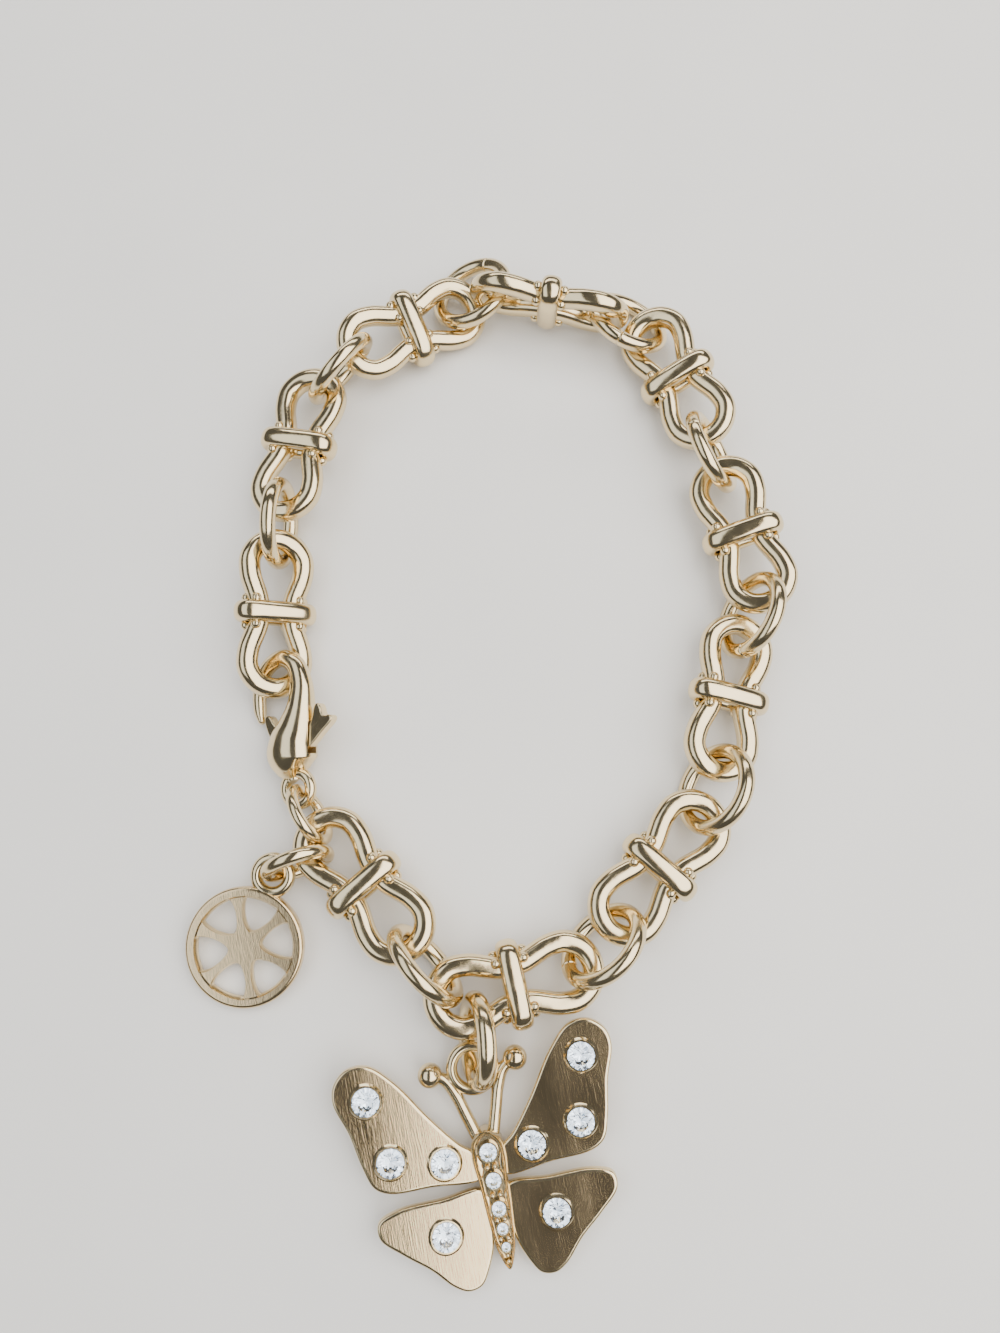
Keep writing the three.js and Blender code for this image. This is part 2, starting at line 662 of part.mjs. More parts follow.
const firstLoop = loopCentre(LINKS[0], -1);
const claspEye = pointOf(claspFrame, 0, 0);
const tagLoop = pointOf(tagFrame, 0, TAG_LOOP_Y);
const bail = pointOf(butterflyFrame, 0, BAIL_PLACE * BODY_LENGTH);
const claspMiddle = firstLoop.clone().lerp(claspEye, CLASP_RING_SHARE);
addNode("clasp_ring", ringGeometry(CLASP_RING), GOLD, ringFrame(CLASP_RING, claspMiddle, CLASP_RING_PLACE));
const tagMiddle = firstLoop.clone().lerp(tagLoop, 0.5);
addNode("tag_ring", ringGeometry(TAG_RING), GOLD, ringFrame(TAG_RING, tagMiddle, TAG_RING_PLACE));
const dropMiddle = loopCentre(LINKS[1], -1).lerp(bail, 0.5);
addNode("drop_ring", ringGeometry(DROP_RING), GOLD, ringFrame(DROP_RING, dropMiddle, DROP_RING_PLACE));

// The middle of the whole bracelet stands over the origin, and its lowest point at z = 0.
const box = new THREE.Box3().setFromObject(bracelet, true);
const middle = box.getCenter(new THREE.Vector3());
bracelet.position.set(-middle.x, -middle.y, -box.min.z);
bracelet.updateMatrixWorld(true);

export default bracelet;
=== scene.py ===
"""A charm bracelet that lies closed on a pale table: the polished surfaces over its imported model.

Ten bow links, round jump rings, a lobster claw clasp with its lever, a round pierced tag and a
butterfly set with clear stones. Lengths are in metres, and each piece takes its place from the
solid that it stands for.
"""

import math

import bpy
import numpy as np
from bpy.props import FloatProperty, FloatVectorProperty, IntProperty, PointerProperty
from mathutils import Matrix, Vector


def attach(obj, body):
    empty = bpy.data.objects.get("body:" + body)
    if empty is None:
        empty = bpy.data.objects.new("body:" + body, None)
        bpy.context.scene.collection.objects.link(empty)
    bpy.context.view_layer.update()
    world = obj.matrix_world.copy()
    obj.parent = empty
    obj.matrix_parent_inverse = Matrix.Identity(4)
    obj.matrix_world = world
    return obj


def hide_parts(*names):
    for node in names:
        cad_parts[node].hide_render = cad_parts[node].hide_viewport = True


bl_info = {
    "name": "Charm bracelet",
    "version": (1, 0, 0),
    "blender": (4, 5, 0),
    "location": "3D View > Sidebar > Bracelet",
    "description": "Builds the polished metal and the stones of a charm bracelet",
    "category": "Add Mesh",
}

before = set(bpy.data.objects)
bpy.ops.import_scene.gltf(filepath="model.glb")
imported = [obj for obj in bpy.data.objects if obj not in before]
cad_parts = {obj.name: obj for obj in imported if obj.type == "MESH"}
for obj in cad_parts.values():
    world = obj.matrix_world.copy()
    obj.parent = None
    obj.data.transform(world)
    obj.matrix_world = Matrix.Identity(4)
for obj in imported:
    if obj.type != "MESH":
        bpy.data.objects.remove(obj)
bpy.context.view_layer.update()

MM = 0.001
CREASE = 32  # degrees

# Places of the flat pieces as the solids' source gives them, in millimetres and degrees. The y axis
# of a piece follows its heading and pitch, and its roll turns it about that axis.
FIRST_LINK = (-13.6, -23.0, 3.65)
CLASP_PLACE = {"at": (-20.7, -13.4, 2.55), "heading": 97, "pitch": 3, "roll": -29}
TAG_PLACE = {"at": (-25.6, -29.1, 1.5), "heading": 69, "pitch": 8, "roll": 0}
BUTTERFLY_PLACE = {"at": (-0.3, -52.0, 1.65), "heading": 101.5, "pitch": 4, "roll": 0}

# Bow links, as in the solids.
LOOP_TURN = 108  # degrees of a loop on each side of its end, before the arms leave it
# Solder beads beside the collar: how far out and how high from the middle of an arm, as shares of
# the wire's radius, and the bead's radius. A bead further out also stands further from the collar.
SOLDER_BEADS = [(1.05, 0.35, 0.56), (-0.45, 0.9, 0.5), (0.45, -0.9, 0.54)]
BEAD_GAP = 0.2
BEAD_LEAN = 0.12

# Jump rings. The cuts of three are listed, in degrees, and the others follow in even steps.
SEAMS = {"chain_ring_3": 200, "chain_ring_2": 250, "chain_ring_7": 95}
SEAM_START, SEAM_STEP = 140, 47
RING_STEPS = 112
RING_CROWDING = 0.86  # how much closer the steps lie at the cut

# Lobster claw clasp, in its own plane, with the middle of its eye at the origin.
EYE_OUTER = 4.4
EYE_WIRE = 1.2
CLASP_LENGTH = 13.8
# Centre line of the claw, its half width in the plane and its half depth, as shares of that length.
CLAW = [
    (-0.029, 0.08, 0.051, 0.051), (-0.04, 0.145, 0.13, 0.12),
    (-0.036, 0.246, 0.196, 0.163), (0.0, 0.362, 0.182, 0.163),
    (0.051, 0.471, 0.147, 0.138), (0.101, 0.623, 0.104, 0.105),
    (0.116, 0.79, 0.085, 0.078), (0.069, 0.935, 0.075, 0.066),
    (-0.041, 1.0, 0.067, 0.061), (-0.167, 0.967, 0.06, 0.057),
    (-0.254, 0.877, 0.055, 0.054), (-0.297, 0.739, 0.051, 0.051),
    (-0.301, 0.623, 0.045, 0.047), (-0.293, 0.558, 0.029, 0.033),
]
PIVOT = (0.051 * CLASP_LENGTH, 0.333 * CLASP_LENGTH)
PIN_RADIUS = 0.4
PIN_REACH = 1.8  # to each side of the lever's middle
PIN_HEAD = 0.12  # height of its bevelled ends
BORE_PLAY = 0.06  # round the pin
LEVER_PLAY = 0.15  # beside each face of the lever, in its slot
SLOT_PLAY = 0.2  # round the lever's outline, in its slot
LEVER_THICKNESS = 1.1
LEVER_EDGE = 0.14
LEVER_TRAVEL = 20  # degrees
SLOT_STEP = 4  # degrees of the lever's travel between two cuts of its slot
# Outline of the closed lever, as shares of the clasp's length.
LEVER = [
    (-0.181, 0.58), (-0.232, 0.58), (-0.239, 0.529), (-0.203, 0.406),
    (-0.123, 0.304), (0.014, 0.254), (0.116, 0.261), (0.21, 0.319),
    (0.297, 0.391), (0.399, 0.457), (0.384, 0.507), (0.312, 0.493),
    (0.297, 0.601), (0.246, 0.601), (0.21, 0.478), (0.138, 0.428),
    (0.043, 0.42), (-0.065, 0.435), (-0.145, 0.493),
]

# Round tag.
TAG_RADIUS = 6.0
TAG_THICKNESS = 1.3
TAG_LOOP_OUTER = 4.6
TAG_LOOP_WIRE = 1.2
TAG_RIM = 1.0
TAG_EDGE = 0.35  # rounding of the rim
TAG_SINK = 0.16  # of each face below the rim
TAG_BAR = 0.9  # least width of the metal between two openings
TAG_MARGIN = 0.15  # between the openings and the rim
TAG_HUB = 1.75  # from the middle to the tip of an opening
TAG_FLARE = 0.3
TAG_PETALS = 6
TAG_SHOULDERS = 0.56  # radius of an opening's shoulders, as a share of the tag's

# Butterfly, in its own plane: y runs from the tail to the head.
WING_THICKNESS = 1.0
WING_EDGE = 0.26  # radius of the rolled edge
WING_LIFT = 5  # degrees
WING_REACH = 13.7
# Outlines of the two right wings, as shares of that reach.
FOREWING = [
    (0.073, 0.292), (0.19, 0.394), (0.365, 0.613), (0.562, 0.898),
    (0.723, 1.044), (0.876, 1.051), (0.978, 0.964), (1.0, 0.847),
    (0.927, 0.628), (0.876, 0.394), (0.818, 0.241), (0.715, 0.182),
    (0.438, 0.161), (0.073, 0.139),
]
HINDWING = [
    (0.073, 0.058), (0.38, 0.066), (0.693, 0.066), (0.832, 0.015),
    (0.839, -0.088), (0.701, -0.226), (0.533, -0.365), (0.401, -0.504),
    (0.307, -0.555), (0.212, -0.54), (0.153, -0.467), (0.073, -0.263),
]
BODY_LENGTH = 12.7
# Right half of the body's outline, and the right antenna, as shares of the body's length.
BODY_RIGHT = [
    (0.0, 0.496), (0.102, 0.433), (0.126, 0.315), (0.106, 0.079),
    (0.091, -0.157), (0.063, -0.378), (0.0, -0.504),
]
BODY_HEIGHT = 2.2
TROUGH_DEPTH = 0.6
TROUGH_WIDTH = 0.72  # share of the body's width
TROUGH_LENGTH = 0.92  # share of the body's length
ANTENNA = [(0.063, 0.441), (0.118, 0.622), (0.165, 0.772), (0.228, 0.89), (0.331, 0.945)]
ANTENNA_WIRE = 1.2
ANTENNA_BALL = 1.2
BAIL_OUTER = 5.2
BAIL_WIRE = 1.1
BAIL_PLACE = 0.937
# Stones: places on a wing as shares of its reach, and the row down the body as shares of its length,
# with each radius.
WING_STONES = [(0.774, 0.818), (0.679, 0.387), (0.314, 0.299), (0.394, -0.168)]
WING_STONE = 1.33
BODY_STONES = [(0.331, 0.82), (0.126, 0.72), (-0.075, 0.66), (-0.217, 0.5), (-0.346, 0.4)]
STONE_TURN = 17  # degrees from one wing stone's facets to the next one's
SEAT_RISE = 0.2
SEAT_WALL = 0.25
SEAT_PLAY = 0.02
WING_SEAT_BEVEL, BODY_SEAT_BEVEL = 0.3, 0.1
STONE_SINK = 0.02
BODY_STONE_SINK = 0.25
# Radius of the grains of metal, a pair between two body stones and a short row at the tail, and how
# far they lie below the body's top.
GRAIN, GRAIN_SINK = 0.24, 0.22
GRAIN_APART = 0.36  # from the body's middle line
TAIL_GRAIN, TAIL_GRAIN_SINK = 0.22, 0.25
TAIL_GRAINS = (-0.405, -0.445)  # shares of the body's length

# Brilliant cut: heights and widths as shares of the stone's radius.
CROWN = 0.32
GIRDLE = 0.1
PAVILION = 0.8
TABLE = 0.58
STAR_HEIGHT = 0.52  # lower corners of the star facets, as a share of the crown
LOWER_WIDTH = 0.32  # upper corners of the facets round the point
LOWER_DEPTH = 0.72  # their depth, as a share of the pavilion

# Places in a mesh's list of finishes.
POLISHED, SATIN = 0, 1
CAST = 1
CLEAR, FOILED = 0, 1

# Soft panels, in metres: place, size, power as a share of the key light's, colour, the point that
# each faces, and whether it shows in reflections.
WARM, COOL = (1.0, 0.97, 0.92), (0.9, 0.95, 1.0)
PANELS = {
    "key": ((0.345, -0.03, 0.32), (0.62, 0.56), 1.0, WARM, (0.345, -0.03, 0), True),
    "left_panel": ((-0.30, 0.0, 0.30), (0.34, 0.50), 0.2, COOL, (-0.30, 0.0, 0), True),
    "back_strip": ((0.0, 0.34, 0.16), (0.40, 0.08), 0.08, WARM, (0, 0, 0), True),
    "overhead": ((-0.10, 0.10, 0.50), (0.50, 0.50), 0.45, WARM, (0, 0, 0), False),
}
ROOM = (0.92, 0.95, 1.0, 1)
SENSOR, LENS = 36, 27.03  # width and focal length in millimetres


def sized(table, length):
    """A table of shares as lengths."""
    return np.array(table, float) * length


# Curves and surfaces


def smooth_curve(points, steps, closed=True):
    """Points along a centripetal Catmull-Rom spline through the given ones.

    Between two neighbours it is a cubic. Its slope at each end weighs the chords before and after
    by the square roots of their lengths.
    """
    points = np.asarray(points, float)
    if closed:
        before, start = np.roll(points, 1, axis=0), points
        end, after = np.roll(points, -1, axis=0), np.roll(points, -2, axis=0)
    else:
        first, last = 2 * points[0] - points[1], 2 * points[-1] - points[-2]
        padded = np.vstack([first, points, last])
        before, start, end, after = padded[:-3], padded[1:-2], padded[2:-1], padded[3:]

    def gap(a, b):
        return np.sqrt(np.linalg.norm(b - a, axis=1))[:, None]

    g0, g1, g2 = gap(before, start), gap(start, end), gap(end, after)
    leave = g1 * ((start - before) / g0 - (end - before) / (g0 + g1) + (end - start) / g1)
    arrive = g1 * ((end - start) / g1 - (after - start) / (g1 + g2) + (after - end) / g2)
    t = (np.arange(steps) / steps)[None, :, None]
    curve = (
        (2 * t**3 - 3 * t**2 + 1) * start[:, None]
        + (t**3 - 2 * t**2 + t) * leave[:, None]
        + (3 * t**2 - 2 * t**3) * end[:, None]
        + (t**3 - t**2) * arrive[:, None]
    ).reshape(-1, points.shape[1])
    return curve if closed else np.vstack([curve, points[-1]])


def directions(path, closed):
    """Unit tangents: the chord from the point before to the point after."""
    if closed:
        chord = np.roll(path, -1, axis=0) - np.roll(path, 1, axis=0)
    else:
        chord = np.gradient(path, axis=0)
    return chord / np.linalg.norm(chord, axis=1)[:, None]


def section(sides, square):
    """Cosine and sine of a superellipse: an exponent over 2 squares the circle a little."""
    angle = 2 * math.pi * (np.arange(sides) + 0.5) / sides
    power = 2 / square
    cosine, sine = np.cos(angle), np.sin(angle)
    return np.sign(cosine) * np.abs(cosine) ** power, np.sign(sine) * np.abs(sine) ** power


def flat(points, z=0.0):
    """Points of the plane as points in space at height z."""
    points = np.asarray(points, float)
    return np.column_stack([points[:, 0], points[:, 1], np.full(len(points), z)])


class Shell:
    """One closed surface: its points, its faces by number of corners, and a finish for each face.

    Faces that look inwards are turned over.
    """

    def __init__(self, points, faces, finish):
        self.points = points
        self.faces = faces
        self.finish = finish
        if self.volume() < 0:
            self.faces = [corners[:, ::-1] for corners in faces]

    def volume(self):
        """Sum over the faces of the tetrahedra that each fan of triangles makes with the origin."""
        total = 0.0
        for corners in self.faces:
            at = self.points[corners]
            total += np.einsum("nki,nki->", at[:, :1] * np.ones_like(at[:, 1:-1]),
                               np.cross(at[:, 1:-1], at[:, 2:]))
        return total / 6

    def moved(self, matrix):
        """Copy in another place."""
        points = self.points @ matrix[:3, :3].T + matrix[:3, 3]
        return Shell(points, self.faces, self.finish)


def shell(grid, closed=False, ends="flat", finish=POLISHED, end_finish=None):
    """Closed surface over a grid of points, whose rows run round the piece.

    Each row is joined to the next. A closed shell joins its last row to its first, and an open one
    has a flat face or a fan to the middle of the row at each end. The finish is one number, or one
    for each band between two rows.
    """
    rows, columns = grid.shape[:2]
    index = np.arange(rows * columns).reshape(rows, columns)
    bands = np.vstack([index, index[:1]]) if closed else index
    beside = np.roll(bands, -1, axis=1)
    quads = np.stack([bands[:-1], beside[:-1], beside[1:], bands[1:]], axis=-1).reshape(-1, 4)
    band_finish = np.broadcast_to(finish, len(bands) - 1)
    points = grid.reshape(-1, 3)
    faces, finishes = [quads], [np.repeat(band_finish, columns)]
    if not closed:
        last_finish = band_finish[-1] if end_finish is None else end_finish
        if ends == "flat":
            faces += [index[:1, ::-1], index[-1:]]
            finishes += [band_finish[:1], np.array([last_finish])]
        else:
            poles = np.full(columns, len(points))
            points = np.vstack([points, grid[0].mean(axis=0), grid[-1].mean(axis=0)])
            faces.append(np.stack([beside[0], index[0], poles], axis=-1))
            faces.append(np.stack([index[-1], beside[-1], poles + 1], axis=-1))
            finishes += [np.full(columns, band_finish[0]), np.full(columns, last_finish)]
    return Shell(points, faces, finishes)


def tube(path, wide, deep=None, closed=False, sides=20, square=2.0, across=(0, 0, 1)):
    """Wire along a flat path: at each point an ellipse across the path.

    wide is its half width in the plane of the path, and deep its half width along the direction
    that the plane faces. An open wire has round ends, whose rows shrink as a quarter circle.
    """
    deep = wide if deep is None else deep
    along = directions(path, closed)
    wide = np.broadcast_to(wide, len(path)).astype(float)
    deep = np.broadcast_to(deep, len(path)).astype(float)
    if not closed:
        quarter = np.radians([80, 60, 40, 20])
        before = path[0] - along[0] * wide[0] * np.sin(quarter)[:, None]
        after = path[-1] + along[-1] * wide[-1] * np.sin(quarter[::-1])[:, None]
        path = np.vstack([before, path, after])
        along = np.vstack([along[:1].repeat(4, 0), along, along[-1:].repeat(4, 0)])
        shrink = np.cos(quarter)
        wide = np.concatenate([wide[0] * shrink, wide, wide[-1] * shrink[::-1]])
        deep = np.concatenate([deep[0] * shrink, deep, deep[-1] * shrink[::-1]])
    side = np.cross(along, across)
    cosine, sine = section(sides, square)
    grid = (
        path[:, None]
        + side[:, None] * (wide[:, None] * cosine)[..., None]
        + np.asarray(across, float) * (deep[:, None] * sine)[..., None]
    )
    return shell(grid, closed, ends="point")


def turned(profile, sides, finish=POLISHED):
    """Surface of revolution about z: each (radius, height) of the profile goes round in a circle."""
    profile = np.asarray(profile, float)
    angle = 2 * math.pi * np.arange(sides) / sides
    grid = np.empty((len(profile), sides, 3))
    grid[..., 0] = profile[:, :1] * np.cos(angle)
    grid[..., 1] = profile[:, :1] * np.sin(angle)
    grid[..., 2] = profile[:, 1:]
    return shell(grid, ends="point", finish=finish)


def hoop(outer, wire):
    """Ring of round wire in the plane: a circle of wire turned about z."""
    angle = 2 * math.pi * np.arange(64) / 64
    middle = (outer - wire) / 2
    path = middle * np.column_stack([np.cos(angle), np.sin(angle), np.zeros(64)])
    return tube(path, wire / 2, closed=True)


def ball(radius, at, sides):
    """Sphere: a half circle turned about z."""
    angle = np.radians(np.linspace(-85, 85, sides // 2 + 1))
    profile = np.column_stack([radius * np.cos(angle), radius * np.sin(angle)])
    return turned(profile, sides).moved(shifted(at))


def inset(outline, amount):
    """Outline moved inwards: each point goes along the mean of its two edge normals, mitred."""
    ahead = np.roll(outline, -1, axis=0) - outline
    ahead /= np.linalg.norm(ahead, axis=1)[:, None]
    behind = np.roll(ahead, 1, axis=0)
    area = np.sum(outline[:, 0] * np.roll(outline[:, 1], -1) - outline[:, 1] * np.roll(outline[:, 0], -1))
    inwards = np.sign(area) * (ahead + behind) @ np.array([[0, 1], [-1, 0]])
    length = np.linalg.norm(inwards, axis=1)[:, None]
    return outline + amount * inwards / length * np.minimum(2 / length, 1.6)


def plate(outline, profile, finish=POLISHED, end_finish=None):
    """Plate of an outline: each (inset, height) of the profile is one row, and both faces are flat."""
    grid = np.stack([flat(inset(outline, amount), z) for amount, z in profile])
    return shell(grid, finish=finish, end_finish=end_finish)


def rounded_edge(half, radius, steps=5):
    """Profile of a plate's edge: a quarter circle at the bottom and at the top, and a level margin."""
    angle = np.radians(np.linspace(0, 90, steps))
    rise = np.column_stack([radius * (1 - np.cos(angle)), half - radius + radius * np.sin(angle)])
    top = np.vstack([rise, [radius + 0.08, half]])
    bottom = top[::-1] * [1, -1]
    return np.vstack([bottom, top])


def softened(outline, rounds=2):
    """Outline with its corners cut: each edge keeps the points at a quarter and three quarters."""
    outline = np.asarray(outline, float)
    for _ in range(rounds):
        ahead = np.roll(outline, -1, axis=0)
        pairs = np.stack([0.75 * outline + 0.25 * ahead, 0.25 * outline + 0.75 * ahead], axis=1)
        outline = pairs.reshape(-1, 2)
    return outline


# Places


def shifted(at):
    """Matrix that moves by at."""
    matrix = np.eye(4)
    matrix[:3, 3] = at
    return matrix


def turn_about(axis, degrees):
    """Matrix that turns about the x, y or z axis, given as 0, 1 or 2."""
    a, b = [(1, 2), (2, 0), (0, 1)][axis]
    angle = math.radians(degrees)
    matrix = np.eye(4)
    matrix[a, a] = matrix[b, b] = math.cos(angle)
    matrix[b, a] = math.sin(angle)
    matrix[a, b] = -math.sin(angle)
    return matrix


def basis(x, y, z, at):
    """Matrix whose columns are three axes and an origin."""
    matrix = np.eye(4)
    matrix[:3, :4] = np.column_stack([x, y, z, at])
    return matrix


def node_triangles(name):
    """Corners of a solid's triangles, in millimetres."""
    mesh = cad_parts[name].data
    mesh.calc_loop_triangles()
    corners = np.empty(3 * len(mesh.loop_triangles), np.int32)
    mesh.loop_triangles.foreach_get("vertices", corners)
    points = np.empty(3 * len(mesh.vertices))
    mesh.vertices.foreach_get("co", points)
    return points.reshape(-1, 3)[corners.reshape(-1, 3)] / MM


def principal_frame(name):
    """Centre of mass and principal axes of a solid, longest first.

    Each triangle makes a tetrahedron with the centre. Its second moment is its volume over 20, times
    the products of its corners with themselves and of their sum with itself.
    """
    corners = node_triangles(name)
    volume = np.linalg.det(corners)
    centre = (volume[:, None] * corners.sum(axis=1)).sum(axis=0) / (4 * volume.sum())
    corners = corners - centre
    volume = np.linalg.det(corners)
    total = corners.sum(axis=1)
    moment = np.einsum("n,nki,nkj->ij", volume, corners, corners)
    moment += np.einsum("n,ni,nj->ij", volume, total, total)
    axes = np.linalg.eigh(moment)[1]
    x, y = axes[:, 2], axes[:, 1]
    return basis(x, y, np.cross(x, y), centre)


def ring_place(name):
    """Frame of a ring: x runs uphill in its plane, and z is its axis."""
    matrix = principal_frame(name)
    normal = matrix[:3, 2] * np.sign(matrix[2, 2])
    uphill = np.array([0, 0, 1]) - normal[2] * normal
    uphill /= np.linalg.norm(uphill)
    return basis(uphill, np.cross(normal, uphill), normal, matrix[:3, 3])


def ring_sizes(name):
    """Outside diameter and wire diameter of a ring, from its solid's reach across and along its axis."""
    matrix = principal_frame(name)
    local = (node_triangles(name).reshape(-1, 3) - matrix[:3, 3]) @ matrix[:3, :3]
    middle = np.linalg.norm(local[:, :2], axis=1)
    outer = 2 * middle.max()
    return outer, (outer - 2 * middle.min()) / 2


def frame_shift():
    """How far the frame lies from the places that the solids' source gives."""
    return principal_frame("bow_link_01")[:3, 3] - np.array(FIRST_LINK)


def flat_place(place):
    """Frame of a flat piece from its heading, pitch and roll."""
    heading, pitch = math.radians(place["heading"]), math.radians(place["pitch"])
    level = math.cos(pitch)
    along = np.array([math.cos(heading) * level, math.sin(heading) * level, math.sin(pitch)])
    right = np.cross(along, [0, 0, 1])
    right /= np.linalg.norm(right)
    matrix = basis(right, along, np.cross(right, along), np.array(place["at"]) + frame_shift())
    return matrix @ turn_about(1, place["roll"])


# Meshes


def mesh_of(name, surface, materials):
    """Mesh of a closed surface, with its finishes as places in the list of materials."""
    mesh = bpy.data.meshes.new(name)
    corners = np.concatenate([faces.ravel() for faces in surface.faces])
    counts = np.concatenate([np.full(len(faces), faces.shape[1]) for faces in surface.faces])
    mesh.vertices.add(len(surface.points))
    mesh.vertices.foreach_set("co", (surface.points * MM).ravel())
    mesh.loops.add(len(corners))
    mesh.loops.foreach_set("vertex_index", corners.astype(np.int32))
    mesh.polygons.add(len(counts))
    mesh.polygons.foreach_set("loop_start", (np.cumsum(counts) - counts).astype(np.int32))
    mesh.polygons.foreach_set("material_index", np.concatenate(surface.finish).astype(np.int32))
    for material in materials:
        mesh.materials.append(material)
    mesh.update(calc_edges=True)
    mesh.validate()
    shade(mesh)
    return mesh


def shade(mesh):
    """Smooth faces, with a hard edge wherever two faces meet at more than the crease angle."""
    mesh.polygons.foreach_set("use_smooth", np.ones(len(mesh.polygons), bool))
    mesh.set_sharp_from_angle(angle=math.radians(CREASE))


def add_object(name, mesh):
    """New object of the scene."""
    piece = bpy.data.objects.new(name, mesh)
    bpy.context.scene.collection.objects.link(piece)
    return piece


def fused(name, base, joined, cuts, materials):
    """Mesh of a surface with others joined to it and then others cut out of it."""
    whole = add_object(name, mesh_of(name, base, materials))
    helpers = []
    for operation, surfaces in (("UNION", joined), ("DIFFERENCE", cuts)):
        for one in surfaces:
            helper = add_object("helper", mesh_of("helper", one, materials))
            step = whole.modifiers.new("step", "BOOLEAN")
            step.operation = operation
            step.solver = "MANIFOLD"
            step.object = helper
            helpers.append(helper)
    depsgraph = bpy.context.evaluated_depsgraph_get()
    mesh = bpy.data.meshes.new_from_object(whole.evaluated_get(depsgraph))
    mesh.name = name
    for unwanted in [whole, *helpers]:
        data = unwanted.data
        bpy.data.objects.remove(unwanted)
        bpy.data.meshes.remove(data)
    if not mesh.polygons:
        raise RuntimeError(name + " came out empty")
    shade(mesh)
    return mesh


def placed(mesh, matrix):
    """Copy of a mesh, moved by a frame whose origin is in millimetres."""
    copy = mesh.copy()
    points = np.empty(len(copy.vertices) * 3)
    copy.vertices.foreach_get("co", points)
    points = points.reshape(-1, 3) @ matrix[:3, :3].T + matrix[:3, 3] * MM
    copy.vertices.foreach_set("co", points.ravel())
    copy.update()
    return copy


def dress(node, mesh, place, body="bracelet", name=None):
    """Finished piece: stands for its node and moves with its body."""
    mesh = placed(mesh, place)
    mesh.name = name or "look_" + node
    piece = add_object(mesh.name, mesh)
    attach(piece, body)
    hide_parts(node)


# Finishes


def new_material(name, metallic=0.0):
    """Plain material, with its node tree and the inputs of its shader."""
    material = bpy.data.materials.new(name)
    material.use_nodes = True
    inputs = material.node_tree.nodes["Principled BSDF"].inputs
    inputs["Metallic"].default_value = metallic
    return material, material.node_tree, inputs


def noise_from(tree, scale, stretch=(1, 1, 1), turn=0.0, detail=3.0):
    """Noise over the object's own coordinates, stretched along an axis that is turned about z."""
    coordinates = tree.nodes.new("ShaderNodeTexCoord")
    mapping = tree.nodes.new("ShaderNodeMapping")
    mapping.vector_type = "TEXTURE"
    mapping.inputs["Rotation"].default_value[2] = turn
    mapping.inputs["Scale"].default_value = stretch
    noise = tree.nodes.new("ShaderNodeTexNoise")
    noise.inputs["Scale"].default_value = scale
    noise.inputs["Detail"].default_value = detail
    tree.links.new(coordinates.outputs["Object"], mapping.inputs["Vector"])
    tree.links.new(mapping.outputs["Vector"], noise.inputs["Vector"])
    return noise.outputs["Fac"]


def ramp_from(tree, source, low, high, start=0.35, end=0.65):
    """Colours from low to high as the source goes from start to end."""
    ramp = tree.nodes.new("ShaderNodeValToRGB")
    ramp.color_ramp.elements[0].position = start
    ramp.color_ramp.elements[1].position = end
    ramp.color_ramp.elements[0].color = (*low, 1)
    ramp.color_ramp.elements[1].color = (*high, 1)
    tree.links.new(source, ramp.inputs["Fac"])
    return ramp.outputs["Color"]


def range_from(tree, source, low, high):
    """A number from low to high as the source goes from 0.3 to 0.7."""
    spread = tree.nodes.new("ShaderNodeMapRange")
    spread.inputs["From Min"].default_value = 0.3
    spread.inputs["From Max"].default_value = 0.7
    spread.inputs["To Min"].default_value = low
    spread.inputs["To Max"].default_value = high
    tree.links.new(source, spread.inputs["Value"])
    return spread.outputs["Result"]


def bump_from(tree, source, strength, distance, under=None):
    """Surface normals bent by the source as a height, over another relief if there is one."""
    bump = tree.nodes.new("ShaderNodeBump")
    if under:
        tree.links.new(under, bump.inputs["Normal"])
    bump.inputs["Strength"].default_value = strength
    bump.inputs["Distance"].default_value = distance
    tree.links.new(source, bump.inputs["Height"])
    return bump.outputs["Normal"]


def plain_gold(name, colour, smoothest, roughest):
    """Champagne gold between two roughnesses, with a faint uneven tone and fine rub marks."""
    material, tree, inputs = new_material(name, metallic=1.0)
    tone = noise_from(tree, 220)
    darker = tuple(0.93 * c for c in colour)
    tree.links.new(ramp_from(tree, tone, darker, colour), inputs["Base Color"])
    rub = noise_from(tree, 900, detail=5)
    tree.links.new(range_from(tree, rub, smoothest, roughest), inputs["Roughness"])
    waves = noise_from(tree, 420)
    tree.links.new(bump_from(tree, waves, 0.16, 0.0002), inputs["Normal"])
    return material


def satin_gold(colour, heading):
    """Brushed gold: fine lines that run along the heading, in tone, roughness and relief."""
    material, tree, inputs = new_material("satin_gold", metallic=1.0)
    grain = noise_from(tree, 7500, stretch=(24, 1, 1), turn=heading, detail=4)
    darker = tuple(0.84 * c for c in colour)
    tree.links.new(ramp_from(tree, grain, darker, colour, 0.3, 0.7), inputs["Base Color"])
    patches = noise_from(tree, 260, stretch=(3, 1, 1), turn=heading)
    tree.links.new(range_from(tree, patches, 0.1, 0.2), inputs["Roughness"])
    streaks = noise_from(tree, 1500, stretch=(14, 1, 1), turn=heading)
    waves = bump_from(tree, streaks, 0.05, 0.0001)
    tree.links.new(bump_from(tree, grain, 0.16, 0.00005, waves), inputs["Normal"])
    return material


def clear_stone(colour):
    """Colourless cut stone: clear as glass, with a barely uneven polish."""
    material, tree, inputs = new_material("clear_stone")
    inputs["Transmission Weight"].default_value = 1.0
    inputs["IOR"].default_value = 1.7
    tone = noise_from(tree, 1500)
    paler = tuple(0.5 + 0.5 * c for c in colour)
    tree.links.new(ramp_from(tree, tone, colour, paler), inputs["Base Color"])
    tree.links.new(range_from(tree, tone, 0.0, 0.01), inputs["Roughness"])
    return material


